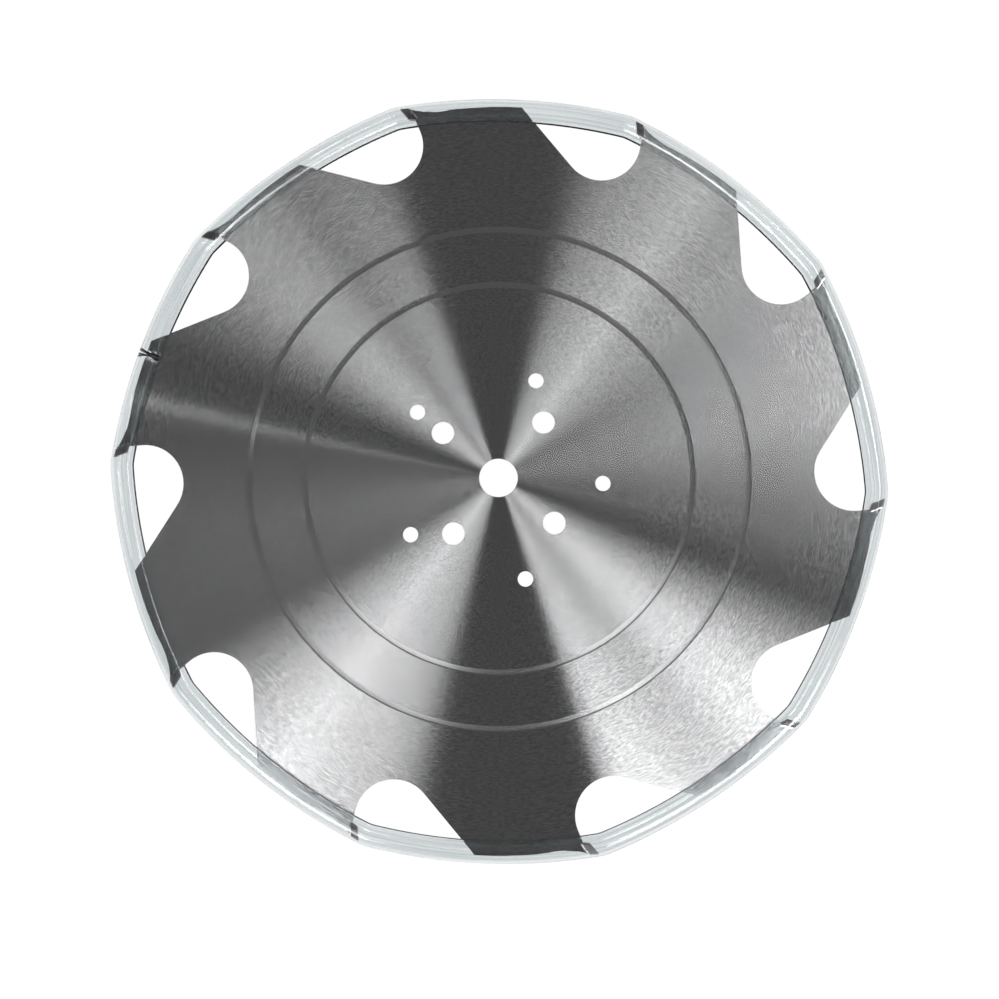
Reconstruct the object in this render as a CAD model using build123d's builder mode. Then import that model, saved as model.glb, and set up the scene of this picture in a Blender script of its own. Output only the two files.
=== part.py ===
from build123d import *
from math import atan2, cos, degrees, radians, sin, sqrt, tan
import os

# A carbide-tipped circular saw blade with its rim pushed into a clear slit-tube edge guard.
# Millimetres and degrees. The plate lies in XY with its mid-plane at Z 0 and the bore at the origin.
# Angles run counter-clockwise from +X, and the teeth point the same way.

# Blade as a whole
teeth = 10
tip_radius = 300.0
first_tip_angle = 32.9
bore_diameter = 30.0
plate_thickness = 4.0
kerf = 5.6

# Tooth back and gullet
limiter_drop = 8.7
limiter_lag = 6.3
heel_lead = 17.5
heel_slope = 29.2
flank_slope = 8.0
gullet_radius = 30.5
gullet_flank_share = 0.98

# Carbide tip, measured along and across its leaning front face
hook_angle = 24.0
top_clearance = 12.0
tip_length = 14.3
tip_face_length = 10.8
tip_thickness = 5.2
tip_corner_chamfer = 0.7
side_clearance = 2.0
radial_clearance = 1.0

# Brazed seat
braze_gap = 0.25
seat_ledge = 1.4
seat_step = 1.2
bead_width = 1.1
bead_height = 0.2

# Flange pins and balancing holes
pin_circle = 111.4
pin_diameter = 17.5
pin_count = 4
pin_angle = 51.0
small_hole_circle = 162.5
small_hole_diameter = 12.0
small_hole_count = 5
small_hole_angle = 68.9

# Rolled tension rings, pressed into both faces
ring_radii = (150.8, 194.2)
ring_width = 4.4
ring_depth = 0.3

# Edge guard, a clear hose slit along its inner side, drawn with flat sides across its diameter
guard_diameter = 18.0
guard_wall = 1.4
guard_sides = 8
guard_tip_clearance = 0.3
guard_lip_clearance = 0.3
guard_sag = 4.7
guard_bend_radius = 31.0
guard_lead = 0.9
guard_seam_angle = 160.3
guard_seam_gap = 0.8

pitch = 360 / teeth
limiter_radius = tip_radius - limiter_drop


def polar(radius, angle):
    """The point at a radius and an angle in degrees."""
    return Vector(radius * cos(radians(angle)), radius * sin(radians(angle)))


def crossing(start, heading, other, other_heading):
    """The point where two lines meet, each given by a point and a heading in degrees."""
    along = Vector(cos(radians(heading)), sin(radians(heading)))
    across = Vector(-sin(radians(other_heading)), cos(radians(other_heading)))
    return start + along * ((other - start).dot(across) / along.dot(across))


def tooth_plane(tooth):
    """The plate's mid-plane turned so that local +X runs out through the tooth's cutting edge."""
    return Plane.XY.rotated((0, 0, first_tip_angle + tooth * pitch))


# Points of one tooth in its own plane. The tip is at (tip_radius, 0) and the gullet is on the +Y side.
face_heading = 180 + hook_angle
face_across = hook_angle - 90
tip_edge = Vector(tip_radius, 0)
tip_face_end = tip_edge + polar(tip_face_length, face_heading)
tip_root = tip_edge + polar(tip_length, face_heading) + polar(tip_thickness, face_across)
tip_ledge_end = tip_root + polar(seat_ledge, face_across + 180)
tip_heel = crossing(tip_edge, -90 - top_clearance, tip_root, face_heading)

# The seat is the back and bottom of the tip, moved off by the braze.
seat_root = tip_root + polar(braze_gap, face_across) + polar(braze_gap, face_heading)
seat_ledge_end = tip_ledge_end + polar(braze_gap, face_heading)
seat_top = tip_heel + polar(braze_gap, face_across) + polar(seat_step, face_heading)
braze_top = tip_heel + polar(seat_step, face_heading)

# The back of the tooth runs at the limiter radius from the heel to where it rises to the seat.
limiter_end = polar(limiter_radius, -limiter_lag)
next_heel = polar(limiter_radius, heel_lead)
gullet_corner = crossing(seat_ledge_end, 180 + flank_slope, next_heel, 270 - heel_slope)

# The gullet's round takes up at most a set share of its flank.
flank_length = (gullet_corner - seat_ledge_end).length
gullet_opening = (90 - heel_slope - flank_slope) / 2
gullet_limit = gullet_flank_share * flank_length * tan(radians(gullet_opening))
gullet_round = min(gullet_radius, gullet_limit)


# One pitch of the outline, from the heel of a tooth to the heel of the next
with BuildLine() as tooth_line:
    land_start = heel_lead - pitch
    land_middle = (land_start - limiter_lag) / 2
    ThreePointArc(polar(limiter_radius, land_start), polar(limiter_radius, land_middle), limiter_end)
    TangentArc(limiter_end, seat_top, tangent=polar(1, 90 - limiter_lag))
    Polyline(seat_top, seat_root, seat_ledge_end)
    FilletPolyline(seat_ledge_end, gullet_corner, next_heel, radius=gullet_round)

# Steel plate
with BuildPart() as saw_plate:
    with BuildSketch() as plate_outline:
        with BuildLine():
            for tooth in range(teeth):
                add(tooth_line.line.rotate(Axis.Z, first_tip_angle + tooth * pitch))
        make_face()
    extrude(amount=plate_thickness / 2, both=True)
    Hole(bore_diameter / 2)
    with PolarLocations(pin_circle / 2, pin_count, start_angle=pin_angle):
        Hole(pin_diameter / 2)
    with PolarLocations(small_hole_circle / 2, small_hole_count, start_angle=small_hole_angle):
        Hole(small_hole_diameter / 2)
    # Each ring is the print of a crowned roller, two shallow slopes that meet at its middle.
    with BuildSketch(Plane.XZ):
        for ring_radius in ring_radii:
            for face in (plate_thickness / 2, -plate_thickness / 2):
                floor = face - ring_depth if face > 0 else face + ring_depth
                ring_start = (ring_radius - ring_width / 2, face)
                ring_end = (ring_radius + ring_width / 2, face)
                with BuildLine():
                    Polyline(ring_start, (ring_radius, floor), ring_end, close=True)
                make_face()
    revolve(axis=Axis.Z, mode=Mode.SUBTRACT)
saw_plate.part.label = "saw_plate"


def carbide_tip(tooth):
    """One tip: its side profile at full kerf, then side clearance and corner chamfers cut by planes."""
    plane = tooth_plane(tooth)
    side_lean = tan(radians(side_clearance))
    radial_lean = tan(radians(radial_clearance))
    chamfer_heading = polar(1, -top_clearance)
    with BuildPart() as tip:
        with BuildSketch(plane):
            with BuildLine():
                Polyline(tip_edge, tip_face_end, tip_ledge_end, tip_root, tip_heel, close=True)
            make_face()
        extrude(amount=kerf / 2, both=True)
        for side in (1, -1):
            corner = plane.from_local_coords((tip_radius, 0, side * kerf / 2))
            lean = plane.from_local_coords((-radial_lean, -side_lean, side)) - plane.origin
            split(bisect_by=Plane(corner, z_dir=lean), keep=Keep.BOTTOM)
            edge = plane.from_local_coords((tip_radius, 0, side * (kerf / 2 - tip_corner_chamfer)))
            slope = plane.from_local_coords((chamfer_heading.X, chamfer_heading.Y, side))
            split(bisect_by=Plane(edge, z_dir=slope - plane.origin), keep=Keep.BOTTOM)
    return tip.part


def braze_bead(tooth, side):
    """The bead along the back of a tip on one face, with its tip side cut back to the carbide."""
    plane = tooth_plane(tooth)
    bead_foot = seat_root + polar(bead_width, face_across)
    bead_top = seat_top + polar(bead_width, face_across)
    ridge = plane.from_local_coords((tip_root.X, tip_root.Y, side * (plate_thickness / 2 + bead_height)))
    lean = polar(bead_height, face_across)
    slope = plane.from_local_coords((lean.X, lean.Y, side * bead_width)) - plane.origin
    with BuildPart() as bead:
        with BuildSketch(plane.offset(side * plate_thickness / 2)):
            with BuildLine():
                Polyline(braze_top, tip_root, seat_root, bead_foot, bead_top, seat_top, close=True)
            make_face()
        extrude(amount=side * bead_height)
        split(bisect_by=Plane(ridge, z_dir=slope), keep=Keep.BOTTOM)
    return bead.part


def braze_joint(tooth):
    """The braze of one tip: a thin layer round the seat and a bead along its back on each face."""
    with BuildPart() as braze:
        with BuildSketch(tooth_plane(tooth)):
            with BuildLine():
                Polyline(braze_top, tip_root, tip_ledge_end, seat_ledge_end, seat_root, seat_top, close=True)
            make_face()
        extrude(amount=plate_thickness / 2, both=True)
        for side in (1, -1):
            add(braze_bead(tooth, side))
    return braze.part


# The guard's centre line is a ring of arcs: a tight one over each tip and a flatter one between.
guard_bore = guard_diameter / 2 - guard_wall
guard_turn = 180 / guard_sides
guard_peak = tip_radius + guard_tip_clearance - sqrt(guard_bore**2 - (kerf / 2) ** 2)
half_pitch = pitch / 2
bend_distance = guard_peak - guard_bend_radius
spread = 1 - cos(radians(half_pitch))
flat_distance = guard_sag * (2 * bend_distance - guard_sag) / (2 * (bend_distance * spread - guard_sag))
flat_radius = guard_peak - guard_sag + flat_distance
bend_reach = degrees(
    atan2(
        flat_distance * sin(radians(half_pitch)),
        bend_distance + flat_distance * cos(radians(half_pitch)),
    )
)
flat_reach = half_pitch - bend_reach

# Edge guard
with BuildPart() as edge_guard:
    with BuildLine() as guard_path:
        for tooth in range(teeth):
            bend_angle = first_tip_angle + guard_lead + tooth * pitch
            flat_angle = bend_angle + half_pitch
            bend_centre = polar(bend_distance, bend_angle)
            flat_centre = polar(-flat_distance, flat_angle)
            CenterArc(bend_centre, guard_bend_radius, bend_angle - bend_reach, 2 * bend_reach)
            CenterArc(flat_centre, flat_radius, flat_angle - flat_reach, 2 * flat_reach)
    path_start = guard_path.wire() @ 0
    section_plane = Plane(path_start, x_dir=path_start, z_dir=guard_path.wire() % 0)
    with BuildSketch(section_plane):
        RegularPolygon(guard_diameter / 2, guard_sides, major_radius=False, rotation=guard_turn)
        RegularPolygon(guard_bore, guard_sides, major_radius=False, rotation=guard_turn, mode=Mode.SUBTRACT)
        with Locations((-guard_diameter / 2, 0)):
            Rectangle(guard_diameter, plate_thickness + 2 * guard_lip_clearance, mode=Mode.SUBTRACT)
    sweep(path=guard_path.wire())
    seam_plane = Plane.XY.rotated((0, 0, guard_seam_angle))
    saw_reach = 2 * guard_diameter
    with Locations(Location(seam_plane)):
        with Locations((guard_peak, 0, 0)):
            Box(saw_reach, guard_seam_gap, saw_reach, mode=Mode.SUBTRACT)
edge_guard.part.label = "edge_guard"


os.makedirs("parts", exist_ok=True)
export_step(saw_plate.part, "parts/saw_plate.step")
export_step(edge_guard.part, "parts/edge_guard.step")
for tooth in range(teeth):
    tip = carbide_tip(tooth)
    tip.label = f"carbide_tip_{tooth + 1:02d}"
    export_step(tip, f"parts/{tip.label}.step")
    braze = braze_joint(tooth)
    braze.label = f"braze_joint_{tooth + 1:02d}"
    export_step(braze, f"parts/{braze.label}.step")
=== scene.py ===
# %% [markdown]
# # A large saw blade inside its clear edge guard
#
# The object is a laser-cut steel disc with ten carbide-tipped teeth. For transport its rim is pushed into a
# clear hose that has been slit along one side. The measured model already holds every solid at its real
# size. This script loads it as a fixed frame, gives each piece its finish, and remakes the hose as one
# smooth surface, because a measured solid has flat sides where the real hose is round.
#
# Everything is in metres. The disc lies in the XY plane with its bore at the origin.

from math import asin, atan2, cos, degrees, pi, radians, sin, sqrt, tan

import bpy
import numpy as np
from mathutils import Matrix, Vector


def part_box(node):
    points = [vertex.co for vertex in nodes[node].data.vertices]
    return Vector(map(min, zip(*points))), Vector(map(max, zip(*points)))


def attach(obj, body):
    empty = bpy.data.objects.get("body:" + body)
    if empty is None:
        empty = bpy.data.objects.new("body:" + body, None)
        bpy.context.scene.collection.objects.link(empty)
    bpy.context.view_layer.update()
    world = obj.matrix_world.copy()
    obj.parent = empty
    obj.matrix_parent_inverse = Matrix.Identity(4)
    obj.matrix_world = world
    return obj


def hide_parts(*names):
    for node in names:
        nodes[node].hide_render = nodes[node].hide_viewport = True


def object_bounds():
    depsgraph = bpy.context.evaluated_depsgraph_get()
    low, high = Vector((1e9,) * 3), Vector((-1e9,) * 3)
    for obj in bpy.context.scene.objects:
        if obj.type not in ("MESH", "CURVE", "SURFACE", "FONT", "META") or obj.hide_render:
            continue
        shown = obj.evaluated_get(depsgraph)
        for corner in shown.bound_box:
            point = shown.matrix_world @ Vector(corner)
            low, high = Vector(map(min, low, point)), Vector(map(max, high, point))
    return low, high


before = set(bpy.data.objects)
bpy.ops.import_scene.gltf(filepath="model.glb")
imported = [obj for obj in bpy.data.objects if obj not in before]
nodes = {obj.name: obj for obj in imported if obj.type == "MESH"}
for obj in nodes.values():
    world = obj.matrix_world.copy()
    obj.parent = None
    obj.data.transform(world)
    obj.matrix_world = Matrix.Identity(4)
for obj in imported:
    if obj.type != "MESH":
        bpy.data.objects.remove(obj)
measured_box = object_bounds()
millimetre = 0.001
print("nodes:", len(nodes), "box:", [round(x, 4) for corner in measured_box for x in corner])

# %% [markdown]
# ## Sizes read from the model
#
# A dressed piece has to sit where the measured one does, so its sizes are read from the frame and not typed
# again. The teeth are counted from their nodes. The cutting edge of a tooth is its vertex farthest from the
# bore, which gives the tip circle and the angle of the first tooth.

# %% Read the teeth and the guard
tips = sorted(name for name in nodes if name.startswith("carbide_tip"))
joints = sorted(name for name in nodes if name.startswith("braze_joint"))
teeth = len(tips)
pitch = 2 * pi / teeth


def vertices(name):
    """The vertices of a node as rows of X, Y and Z."""
    mesh = nodes[name].data
    flat = np.empty(3 * len(mesh.vertices), np.float32)
    mesh.vertices.foreach_get("co", flat)
    return flat.reshape(-1, 3)


first_tip = vertices(tips[0])
farthest = first_tip[np.argmax(np.hypot(first_tip[:, 0], first_tip[:, 1]))]
tip_radius = float(np.hypot(farthest[0], farthest[1]))
first_tip_angle = atan2(farthest[1], farthest[0])
kerf = float(np.ptp(first_tip[:, 2]))
plate_low, plate_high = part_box("saw_plate")
plate_thickness = plate_high.z - plate_low.z
plate_points = vertices("saw_plate")
plate_radii = np.hypot(plate_points[:, 0], plate_points[:, 1])
guard_low, guard_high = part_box("edge_guard")
guard_radius = (guard_high.z - guard_low.z) / 2
print("teeth:", teeth, "tip radius:", round(tip_radius, 4), "guard radius:", round(guard_radius, 4))

# %% Read the rolled rings
# The bottom of a ring's groove is the only place where the plate has vertices between its two faces.
below_face = plate_thickness / 2 - np.abs(plate_points[:, 2])
in_groove = (below_face > 0.05 * millimetre) & (below_face < plate_thickness / 4)
ring_radii = [float(r) for r in np.unique(np.round(plate_radii[in_groove], 4))]
ring_depth = float(below_face[in_groove].max())
ring_half = 2.2 * millimetre
wall_slope = ring_depth / ring_half
print("rings:", ring_radii, "wall slope:", round(wall_slope, 3))

# %% [markdown]
# ## The guard's line
#
# A hose pushed over a toothed rim isn't a circle. It is bent round each tooth tip and lies nearly straight
# between two of them, so from above the ring looks like a polygon with soft corners. Two arcs that share a
# tangent describe one pitch: a tight one at the tip and a flat one between. Both are drawn with the same
# parameter, the heading of the line's outward normal, and that makes one formula enough.

# %% Work out the two arcs
guard_wall = 1.4 * millimetre
guard_tip_clearance = 0.3 * millimetre
guard_lip_clearance = 0.3 * millimetre
guard_sag = 4.7 * millimetre
bend_radius = 31 * millimetre
guard_lead = radians(0.9)
seam_angle = radians(160.3)
seam_gap = 0.8 * millimetre

guard_bore = guard_radius - guard_wall
guard_peak = tip_radius + guard_tip_clearance - sqrt(guard_bore**2 - (kerf / 2) ** 2)
bend_distance = guard_peak - bend_radius
half_pitch = pitch / 2
spread = 1 - cos(half_pitch)
flat_distance = guard_sag * (2 * bend_distance - guard_sag) / (2 * (bend_distance * spread - guard_sag))
flat_radius = guard_peak - guard_sag + flat_distance
bend_reach = atan2(
    flat_distance * sin(half_pitch),
    bend_distance + flat_distance * cos(half_pitch),
)
first_bend = first_tip_angle + guard_lead
print("bend reach:", round(degrees(bend_reach), 2), "flat radius:", round(flat_radius, 4))


def guard_line(heading):
    """Points of the hose's centre line, one for each heading of its outward normal.

    The heading is measured from the nearest bend. Within the bend's reach a point is the bend's centre plus
    the bend's radius along the heading. Beyond it, the centre and the radius are those of the flat arc,
    whose centre lies on the far side of the bore.
    """
    nearest = first_bend + pitch * np.round((heading - first_bend) / pitch)
    next_flat = nearest + half_pitch * np.sign(heading - nearest)
    in_bend = np.abs(heading - nearest) <= bend_reach
    centre_angle = np.where(in_bend, nearest, next_flat)
    centre_distance = np.where(in_bend, bend_distance, -flat_distance)
    radius = np.where(in_bend, bend_radius, flat_radius)
    x = centre_distance * np.cos(centre_angle) + radius * np.cos(heading)
    y = centre_distance * np.sin(centre_angle) + radius * np.sin(heading)
    return np.stack([x, y], axis=1)


# %% [markdown]
# ## The hose's section
#
# Across the line the hose is a ring with a slit towards the bore, where the plate enters. Its two lips are
# rounded. A section is drawn once as a closed loop of points: the outer wall, one lip, the inner wall and
# the other lip. The surface is that loop carried along the line, which is a grid of two parameters. Both
# ends are closed with strips that join the outer wall to the inner one.

# %% Draw the section
wall_steps = 44
lip_steps = 6
middle_radius = guard_radius - guard_wall / 2
slit_half = plate_thickness / 2 + guard_lip_clearance
lip_turn = asin((slit_half + guard_wall / 2) / middle_radius)


def guard_section():
    """The section as rows of outward distance and height, with the hose's centre at zero.

    The outer and inner walls are arcs that stop a lip's turn before the inward direction. Each lip is half a
    circle of half the wall's thickness, centred on the middle of the wall at its end.
    """
    sweep = np.linspace(-(pi - lip_turn), pi - lip_turn, wall_steps)
    outer = guard_radius * np.stack([np.cos(sweep), np.sin(sweep)], axis=1)
    inner = guard_bore * np.stack([np.cos(sweep), np.sin(sweep)], axis=1)[::-1]
    round_off = np.linspace(0, pi, lip_steps + 2)[1:-1]
    end = pi - lip_turn
    upper_lip = middle_radius * np.array([cos(end), sin(end)]) + guard_wall / 2 * np.stack(
        [np.cos(end + round_off), np.sin(end + round_off)], axis=1
    )
    lower_lip = (upper_lip * [1, -1])[::-1]
    return np.concatenate([outer, upper_lip, inner, lower_lip])


section = guard_section()
print("section points:", len(section))

# %% Carry the section along the line
bend_steps = 14
flat_steps = 40
half_gap = seam_gap / 2 / tip_radius


def guard_headings():
    """Headings from one side of the seam round to the other, closer together in the bends."""
    bend = np.linspace(-bend_reach, bend_reach, bend_steps, endpoint=False)
    flat = np.linspace(bend_reach, pitch - bend_reach, flat_steps, endpoint=False)
    one_pitch = np.concatenate([bend, flat])
    laps = first_bend + pitch * np.arange(-1, 2 * teeth)
    every = (laps[:, None] + one_pitch).ravel()
    start = seam_angle + half_gap
    stop = seam_angle + 2 * pi - half_gap
    return np.concatenate([[start], every[(every > start) & (every < stop)], [stop]])


def sweep_section(headings, profile):
    """Vertices and faces of a profile carried along the guard's line.

    A vertex is the line's point plus the profile's outward distance along the normal, at the profile's
    height. Faces join neighbouring points of neighbouring sections, and each end is closed by strips.
    """
    along, round_it = len(headings), len(profile)
    line = guard_line(headings)
    normal = np.stack([np.cos(headings), np.sin(headings)], axis=1)
    flat = line[:, None, :] + profile[None, :, :1] * normal[:, None, :]
    height = np.broadcast_to(profile[None, :, 1:], (along, round_it, 1))
    points = np.concatenate([flat, height], axis=2).reshape(-1, 3)
    row, column = np.meshgrid(np.arange(along - 1), np.arange(round_it), indexing="ij")
    beside = (column + 1) % round_it
    walls = np.stack(
        [
            row * round_it + column,
            (row + 1) * round_it + column,
            (row + 1) * round_it + beside,
            row * round_it + beside,
        ],
        axis=-1,
    ).reshape(-1, 4)
    strip = np.arange(wall_steps + lip_steps - 1) - lip_steps // 2
    across = wall_steps * 2 + lip_steps - 1 - strip
    cap = np.stack([strip, strip + 1, across - 1, across], axis=1) % round_it
    last = (along - 1) * round_it
    return points, np.concatenate([walls, cap, cap[:, ::-1] + last])


headings = guard_headings()
points, faces = sweep_section(headings, section)
print("guard sections:", len(headings), "faces:", len(faces))


# %% [markdown]
# ## From arrays to an object
#
# `from_pydata` takes the rows as they are. Two numbers go with each vertex: how far along the hose it lies
# and where it sits round the section. They are stored as one vector attribute, so that a material can draw
# streaks that follow the hose round every bend, which no straight coordinate could do.

# %% Make the guard's mesh
wall_side = np.arctan2(section[:, 1], section[:, 0])


def new_piece(name, points, faces):
    """An object with a smooth-shaded mesh, at the origin, linked to the scene."""
    mesh = bpy.data.meshes.new(name)
    mesh.from_pydata(points.tolist(), [], faces.tolist())
    mesh.shade_smooth()
    piece = bpy.data.objects.new(name, mesh)
    bpy.context.scene.collection.objects.link(piece)
    return piece


def store_lay(piece, headings, profile_angle):
    """Writes each vertex's distance along the hose and the cosine and sine of its place round the section."""
    line = guard_line(headings)
    steps = np.hypot(*np.diff(line, axis=0).T)
    along = np.concatenate([[0], np.cumsum(steps)])
    lay = np.empty((len(headings), len(profile_angle), 3), np.float32)
    lay[:, :, 0] = along[:, None]
    lay[:, :, 1] = np.cos(profile_angle)
    lay[:, :, 2] = np.sin(profile_angle)
    attribute = piece.data.attributes.new("lay", "FLOAT_VECTOR", "POINT")
    attribute.data.foreach_set("vector", lay.ravel())
    return float(along[-1])


guard = new_piece("guard_hose", points, faces)
hose_length = store_lay(guard, headings, wall_side)
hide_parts("edge_guard")
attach(guard, "root")
print("hose length:", round(hose_length, 3), "triangles:", 2 * len(faces))

# %% [markdown]
# ## Writing shaders as sums
#
# A material is a graph of nodes, and most of that graph is arithmetic. The class below wraps a node's output
# so that Python's own operators add the Math nodes: `radius * 900` or `1 - mask` reads like the formula it
# stands for. Any other node comes from its one method, which sets the node's settings first and its inputs
# after them.

# %% A socket that takes part in sums
class Flow:
    """A value that varies over a surface, held as the output socket of a node."""

    def __init__(self, tree, socket=None):
        self.tree = tree
        self.socket = socket

    def node(self, kind, settings=None, inputs=None, output=0):
        """Adds a node. Its settings come first and its inputs last."""
        made = self.tree.nodes.new(kind)
        for key, value in (settings or {}).items():
            setattr(made, key, value)
        for key, value in (inputs or {}).items():
            if isinstance(value, Flow):
                self.tree.links.new(value.socket, made.inputs[key])
            else:
                made.inputs[key].default_value = value
        return Flow(self.tree, made.outputs[output])

    def math(self, operation, *others):
        """One Math node on this value and others."""
        return self.node("ShaderNodeMath", {"operation": operation}, dict(enumerate((self, *others))))

    def reversed_math(self, operation, first):
        """One Math node on another value and this one, in that order."""
        return self.node("ShaderNodeMath", {"operation": operation}, {0: first, 1: self})

    def __add__(self, other):
        return self.math("ADD", other)

    def __sub__(self, other):
        return self.math("SUBTRACT", other)

    def __rsub__(self, other):
        return self.reversed_math("SUBTRACT", other)

    def __mul__(self, other):
        return self.math("MULTIPLY", other)

    def __truediv__(self, other):
        return self.math("DIVIDE", other)

    def __pow__(self, other):
        return self.math("POWER", other)

    __radd__ = __add__
    __rmul__ = __mul__

    def between(self, low, high):
        """Zero at low, one at high, with a soft start and end."""
        settings = {"interpolation_type": "SMOOTHSTEP", "clamp": True}
        return self.node("ShaderNodeMapRange", settings, {"Value": self, "From Min": low, "From Max": high})


def mix_colours(factor, first, second):
    """The first colour where the factor is 0 and the second where it is 1."""
    return factor.node(
        "ShaderNodeMix",
        {"data_type": "RGBA"},
        {"Factor": factor, "A": first, "B": second},
        output="Result",
    )


def new_material(name):
    """An empty material with its output node, and a Flow that starts its graph."""
    material = bpy.data.materials.new(name)
    material.use_nodes = True
    material.node_tree.nodes.clear()
    return material, Flow(material.node_tree)


def finish_material(material, shader):
    """Links a shader to the material's output."""
    out = material.node_tree.nodes.new("ShaderNodeOutputMaterial")
    material.node_tree.links.new(shader.socket, out.inputs["Surface"])
    return material


# %% [markdown]
# ## Ground steel
#
# The plate is ground on a turntable, so its scratches are circles about the bore. Such a surface throws a
# lamp's reflection into two fans, one towards the lamp and one away from it, because each scratch acts as a
# tiny cylinder. Rendering every scratch would take millions of faces. Anisotropy does the same sum inside
# the shader: rough across the scratches and smooth along them. The grain that still shows is drawn by two
# such glosses, a bright and a dull one, mixed by noise that is fine along the radius and long round it.
#
# Two rings are rolled into the plate to tension it. The roller burnishes them, so they are smooth in every
# direction and stay dark where the ground faces are lit, apart from where they catch a lamp of their own.

# %% Ground steel
grain_pitch = 0.9 * millimetre
grain_arcs = 55
grain_contrast = 3.0
scratch_anisotropy = 0.83
band_pitch = 14 * millimetre
line_soft = 0.08 * millimetre
outer_wall = 1.1 * millimetre


def polar_parts(start):
    """The radius from the bore, and the cosine and sine of the angle round it."""
    place = start.node("ShaderNodeTexCoord", output="Object")
    x, y = (place.node("ShaderNodeSeparateXYZ", inputs={0: place}, output=axis) for axis in "XY")
    radius = (x * x + y * y) ** 0.5
    return radius, x / radius, y / radius


def ring_noise(radius, cosine, sine, pitch, arcs, detail, roughness):
    """Noise that is fine along the radius and long along the circles, with no seam at half a turn."""
    place = radius.node(
        "ShaderNodeCombineXYZ", inputs={0: radius / pitch, 1: cosine * arcs, 2: sine * arcs}
    )
    inputs = {"Vector": place, "Scale": 1.0, "Detail": detail, "Roughness": roughness}
    return radius.node("ShaderNodeTexNoise", inputs=inputs)


def annulus(radius, inner, outer):
    """One between two radii and zero elsewhere, with soft edges."""
    entered = radius.between(inner - line_soft, inner + line_soft)
    left = radius.between(outer - line_soft, outer + line_soft)
    return entered * (1 - left)


def tip_normal(normal, cosine, sine, slope):
    """The surface's normal, tipped along the radius by a slope and brought back to unit length."""
    outward = slope.node("ShaderNodeCombineXYZ", inputs={0: cosine * slope, 1: sine * slope})
    tipped = normal.node("ShaderNodeVectorMath", {"operation": "ADD"}, {0: normal, 1: outward})
    return tipped.node("ShaderNodeVectorMath", {"operation": "NORMALIZE"}, {0: tipped})


def gloss(start, colour, roughness, anisotropy, normal):
    """A bare metal gloss. Its scratches run round the bore, as the default tangent does."""
    inputs = {"Color": colour, "Roughness": roughness, "Anisotropy": anisotropy, "Normal": normal}
    return start.node("ShaderNodeBsdfAnisotropic", inputs=inputs)


def blend_shaders(factor, first, second):
    """The first shader where the factor is 0 and the second where it is 1."""
    return factor.node("ShaderNodeMixShader", inputs={0: factor, 1: first, 2: second})


def ground_faces(start, radius, cosine, sine, normal, grain):
    """Concentric scratches: a dull and a bright gloss, mixed by the grain."""
    speckle = ((grain - 0.5) * grain_contrast + 0.5).between(0.0, 1.0)
    bands = ring_noise(radius, cosine, sine, band_pitch, 1.5, 2.0, 0.5)
    roughness = bands * 0.03 + 0.235
    dull = gloss(start, (0.40, 0.402, 0.408, 1), roughness, scratch_anisotropy, normal)
    bright = gloss(start, (0.60, 0.602, 0.607, 1), roughness, scratch_anisotropy, normal)
    return blend_shaders(speckle, dull, bright)


def burnished_rings(start, radius, cosine, sine, normal, grain):
    """Rolled metal, smooth in every direction. Half of each outer wall leans as the inner wall does."""
    inner_ring, outer_ring = (annulus(radius, ring, ring + outer_wall) for ring in ring_radii)
    leaning = tip_normal(normal, cosine, sine, (inner_ring + outer_ring) * 2 * wall_slope)
    return gloss(start, (0.58, 0.585, 0.59, 1), grain * 0.04 + 0.14, 0.0, leaning)


def ground_steel():
    """Ground faces, burnished rings, and a darker laser-cut finish on the edges."""
    material, start = new_material("ground_steel")
    radius, cosine, sine = polar_parts(start)
    grain = ring_noise(radius, cosine, sine, grain_pitch, grain_arcs, 3.0, 0.65)
    normal = start.node("ShaderNodeNewGeometry", output="Normal")
    upright = normal.node("ShaderNodeSeparateXYZ", inputs={0: normal}, output=2).math("ABSOLUTE")
    face = upright.between(0.5, 0.8)
    flat = upright.between(0.992, 0.997)
    ground = ground_faces(start, radius, cosine, sine, normal, grain)
    burnished = burnished_rings(start, radius, cosine, sine, normal, grain)
    rolled = blend_shaders(flat * 0.88 + 0.12, burnished, ground)
    cut = start.node(
        "ShaderNodeBsdfPrincipled",
        inputs={"Base Color": (0.16, 0.16, 0.165, 1), "Metallic": 1.0, "Roughness": 0.42},
    )
    return finish_material(material, blend_shaders(face, cut, rolled))


def dress(names, material):
    """Gives CAD nodes a material in place of the plain one that they came with."""
    for name in names:
        nodes[name].data.materials.clear()
        nodes[name].data.materials.append(material)


dress(["saw_plate"], ground_steel())
print("dressed: saw_plate")

# %% [markdown]
# ## Carbide and braze
#
# A tip is sintered tungsten carbide, ground on every side. It is a dark warm grey with a dull gloss and a
# fine grain. The braze behind it is silver alloy that has flowed and set, so it is bright and slightly wavy.

# %% Carbide and braze
def carbide():
    """Dark sintered metal with a fine even grain."""
    material, start = new_material("carbide")
    place = start.node("ShaderNodeTexCoord", output="Object")
    grain = start.node("ShaderNodeTexNoise", inputs={"Vector": place, "Scale": 2200.0, "Detail": 4.0})
    colour = mix_colours(grain, (0.22, 0.205, 0.215, 1), (0.40, 0.375, 0.39, 1))
    bump = start.node("ShaderNodeBump", inputs={"Height": grain, "Strength": 0.15, "Distance": 0.0002})
    shader = start.node(
        "ShaderNodeBsdfPrincipled",
        inputs={"Base Color": colour, "Metallic": 1.0, "Roughness": grain * 0.2 + 0.3, "Normal": bump},
    )
    return finish_material(material, shader)


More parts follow.
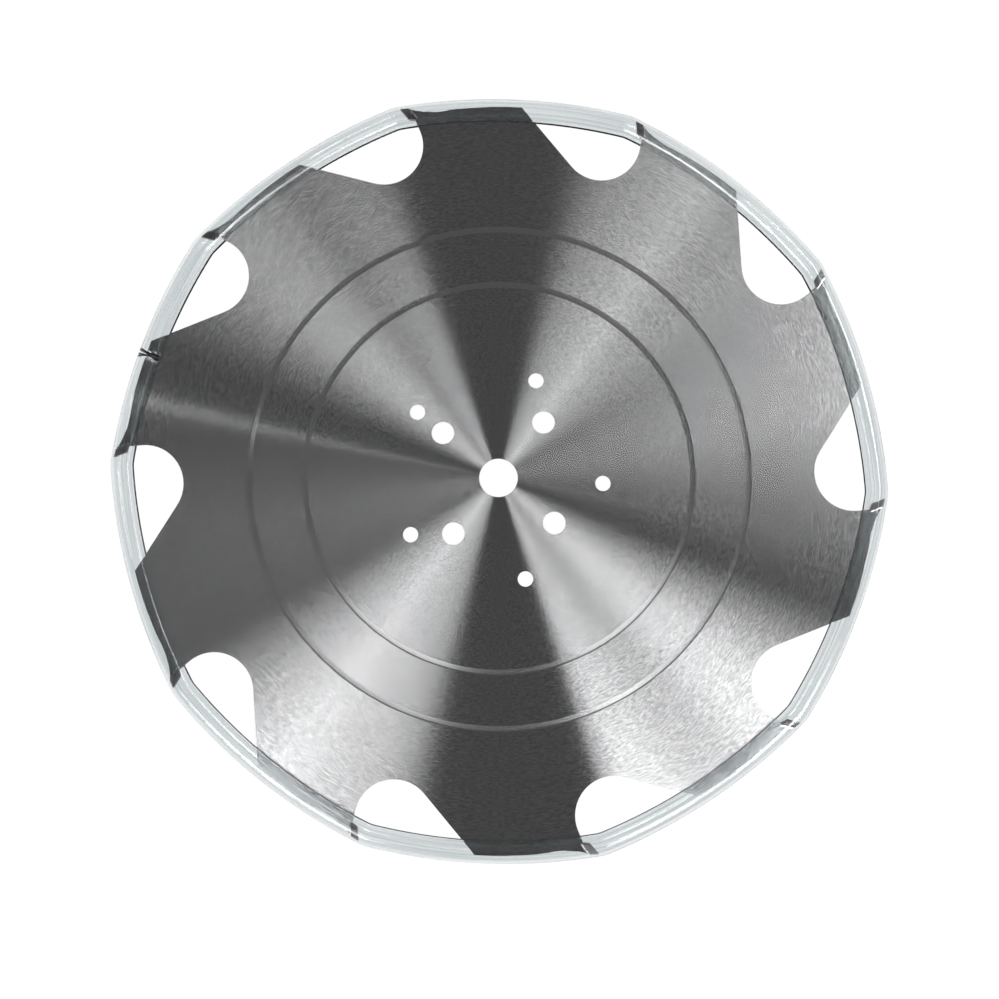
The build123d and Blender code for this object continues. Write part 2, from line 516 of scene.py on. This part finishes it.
def silver_braze():
    """Bright solder with the low waves that it set in."""
    material, start = new_material("silver_braze")
    place = start.node("ShaderNodeTexCoord", output="Object")
    waves = start.node("ShaderNodeTexNoise", inputs={"Vector": place, "Scale": 700.0, "Detail": 2.0})
    colour = mix_colours(waves, (0.62, 0.60, 0.55, 1), (0.86, 0.85, 0.81, 1))
    bump = start.node("ShaderNodeBump", inputs={"Height": waves, "Strength": 0.3, "Distance": 0.0004})
    shader = start.node(
        "ShaderNodeBsdfPrincipled",
        inputs={"Base Color": colour, "Metallic": 1.0, "Roughness": waves * 0.2 + 0.15, "Normal": bump},
    )
    return finish_material(material, shader)


dress(tips, carbide())
dress(joints, silver_braze())

# %% [markdown]
# ## Clear hose
#
# Plasticised PVC bends light, tints it faintly blue-green where the wall is thick, and has a wet gloss with
# fine lines drawn along it by the extrusion die. Its tint is also darker along noisy streaks that follow the
# hose: that is painted shade, standing in for the dark surroundings that the real hose refracts.

# %% Clear hose
def clear_pvc():
    """Glass-like plastic, tinted faintly, with a die's fine lines as bumps and darker streaks of painted
    shade.
    """
    material, start = new_material("clear_pvc")
    lay = start.node("ShaderNodeAttribute", {"attribute_name": "lay"}, output="Vector")
    stretch = lay.node("ShaderNodeVectorMath", {"operation": "MULTIPLY"}, {0: lay, 1: (6.0, 9.0, 9.0)})
    lines = lay.node("ShaderNodeTexNoise", inputs={"Vector": stretch, "Scale": 1.0, "Detail": 2.0})
    bump = start.node("ShaderNodeBump", inputs={"Height": lines, "Strength": 0.12, "Distance": 0.0006})
    # The darker tint along these streaks is painted shade for the dark surroundings that the real hose
    # refracts.
    painted_shade_streak = lines.between(0.35, 0.65)
    shader = start.node(
        "ShaderNodeBsdfPrincipled",
        inputs={
            "Base Color": mix_colours(painted_shade_streak, (0.74, 0.775, 0.785, 1), (0.93, 0.945, 0.947, 1)),
            "Roughness": 0.03,
            "IOR": 1.53,
            "Transmission Weight": 1.0,
            "Normal": bump,
        },
    )
    return finish_material(material, shader)


guard.data.materials.append(clear_pvc())
print("dressed: guard_hose")

# %% [markdown]
# ## Floor
#
# The blade lies flat on its guard. The floor is a plain pale sheet that glows a little, as a light table
# does, so that the gullets and the holes look clean and no shadow competes with the rim.

# %% Floor
floor_half = 4.0
floor_height = measured_box[0].z
floor_mesh = bpy.data.meshes.new("floor")
corner_signs = ((-1, -1), (1, -1), (1, 1), (-1, 1))
floor_points = [(x * floor_half, y * floor_half, floor_height) for x, y in corner_signs]
floor_mesh.from_pydata(floor_points, [], [(0, 1, 2, 3)])
floor = bpy.data.objects.new("floor", floor_mesh)
bpy.context.scene.collection.objects.link(floor)


def pale_floor():
    """White that glows and takes hardly any light, and isn't there for a camera under it."""
    material, start = new_material("pale_floor")
    white = start.node(
        "ShaderNodeBsdfPrincipled",
        inputs={
            "Base Color": (0.02, 0.02, 0.02, 1),
            "Roughness": 1.0,
            "Specular IOR Level": 0.0,
            "Emission Color": (1.0, 1.0, 1.0, 1),
            "Emission Strength": 1.0,
        },
    )
    under = start.node("ShaderNodeNewGeometry", output="Backfacing")
    nothing = start.node("ShaderNodeBsdfTransparent")
    shader = start.node("ShaderNodeMixShader", inputs={0: under, 1: white, 2: nothing})
    return finish_material(material, shader)


floor_mesh.materials.append(pale_floor())
print("floor at", round(floor_height, 4))

# %% [markdown]
# ## Light
#
# The fans on the plate are pictures of the lamps, so the lamps are placed by their angle round the bore. A
# fan is as wide as its lamp looks from the plate. A lamp close to the plate makes its own fan much brighter
# than the one across the bore, and a far lamp makes the two alike, so each softbox also has its distance.
# Several boxes side by side make one large lamp that fades towards its ends.

# %% Softboxes
lamp_elevation = radians(45)
lamp_tall = 0.4
strip_turn = 3.0


def softbox(name, start, stop, brightness, distance, elevation=lamp_elevation, tall=lamp_tall):
    """A rectangular lamp that faces the bore and fills the angle from start to stop, in degrees round it."""
    reach = distance * cos(elevation)
    turn = radians((start + stop) / 2)
    lamp = bpy.data.lights.new(name, "AREA")
    lamp.shape = "RECTANGLE"
    lamp.size = 2 * reach * tan(radians((stop - start) / 2))
    lamp.size_y = tall * distance
    lamp.energy = brightness * lamp.size * lamp.size_y
    place = Vector((cos(turn) * reach, sin(turn) * reach, distance * sin(elevation)))
    thing = bpy.data.objects.new(name, lamp)
    thing.location = place
    thing.rotation_mode = "QUATERNION"
    thing.rotation_quaternion = (-place).to_track_quat("-Z", "Y")
    thing.visible_camera = False
    bpy.context.scene.collection.objects.link(thing)
    return thing


def fading_softbox(name, fade, distance, elevation=lamp_elevation, tall=lamp_tall):
    """Strips side by side whose brightness follows straight lines between pairs of angle and brightness."""
    angles, brightness = zip(*fade)
    count = max(1, round((angles[-1] - angles[0]) / strip_turn))
    edges = np.linspace(angles[0], angles[-1], count + 1)
    levels = np.interp((edges[:-1] + edges[1:]) / 2, angles, brightness)
    for strip in range(count):
        place = (edges[strip], edges[strip + 1])
        softbox(f"{name}_{strip:02d}", *place, float(levels[strip]), distance, elevation, tall)
    return count


# The near lamp on the right is low and slim, so that the rolled rings there don't mirror its upper edge.
right_elevation = radians(40)
right_tall = 0.15
right_fade = ((342, 2), (354, 9), (366, 21), (375, 31), (384, 29), (392, 25), (399, 18), (405, 9), (410, 0))
upper_right_fade = ((415, 0), (420, 4), (424, 2), (435, 0))
lower_left_fade = ((207, 1), (216, 13), (222, 23), (230, 33), (236, 26), (246, 20), (251, 12), (255, 1))
lower_right_fade = ((289, 6), (292, 24), (295, 26), (300, 22), (306, 16), (309, 16))
far_right_fade = ((309, 18), (313, 24), (319, 31), (324, 29), (330, 19), (336, 8), (342, 1))
strips = (
    fading_softbox("right", right_fade, 0.75, right_elevation, right_tall)
    + fading_softbox("upper_right", upper_right_fade, 2.6)
    + fading_softbox("lower_left", lower_left_fade, 2.6)
    + fading_softbox("lower_right", lower_right_fade, 0.9)
    + fading_softbox("far_right", far_right_fade, 1.6)
)
softbox("upper_left_strip", 163, 164.2, 9.0, 1.0)
print("strips:", strips)

# %% Lamps for the rolled rings
ring_elevation = radians(70.3)
ring_tall = 0.11
ring_distance = 3.0
softbox("ring_left", 211, 252, 4.4, ring_distance, ring_elevation, ring_tall)
softbox("ring_right", 296, 332, 4.4, ring_distance, ring_elevation, ring_tall)
softbox("ring_right_end", 332, 342, 1.5, ring_distance, ring_elevation, ring_tall)

# %% World and tones
world = bpy.data.worlds.new("studio")
bpy.context.scene.world = world
world.use_nodes = True
world.node_tree.nodes["Background"].inputs["Color"].default_value = (1, 1, 1, 1)
world.node_tree.nodes["Background"].inputs["Strength"].default_value = 0.12
bpy.context.scene.view_settings.view_transform = "Standard"

# %% [markdown]
# ## Camera
#
# The photograph looks nearly straight at the disc, three degrees from square. Its perspective was worked
# out from the holes, whose places are known, and gives a lens of 72 mm at about a metre and a half.

# %% Camera
camera_data = bpy.data.cameras.new("camera")
camera_data.sensor_width = 36
camera_data.lens = 72.07
camera = bpy.data.objects.new("camera", camera_data)
camera_place = Vector((0.0167, -0.0969, 1.5515))
camera_aim = Vector((0.0008, -0.0168, 0.0))
camera_back = (camera_place - camera_aim).normalized()
camera_right = Vector((0, 1, 0)).cross(camera_back).normalized()
camera_up = camera_back.cross(camera_right)
camera.location = camera_place
camera.rotation_mode = "QUATERNION"
camera.rotation_quaternion = Matrix((camera_right, camera_up, camera_back)).transposed().to_quaternion()
bpy.context.scene.collection.objects.link(camera)
bpy.context.scene.camera = camera
print("camera distance:", round((camera_aim - camera_place).length, 3))

# %% [markdown]
# ## The measured box

# %% Print the measured box
print("measured:", [round(x, 4) for c in measured_box for x in c])
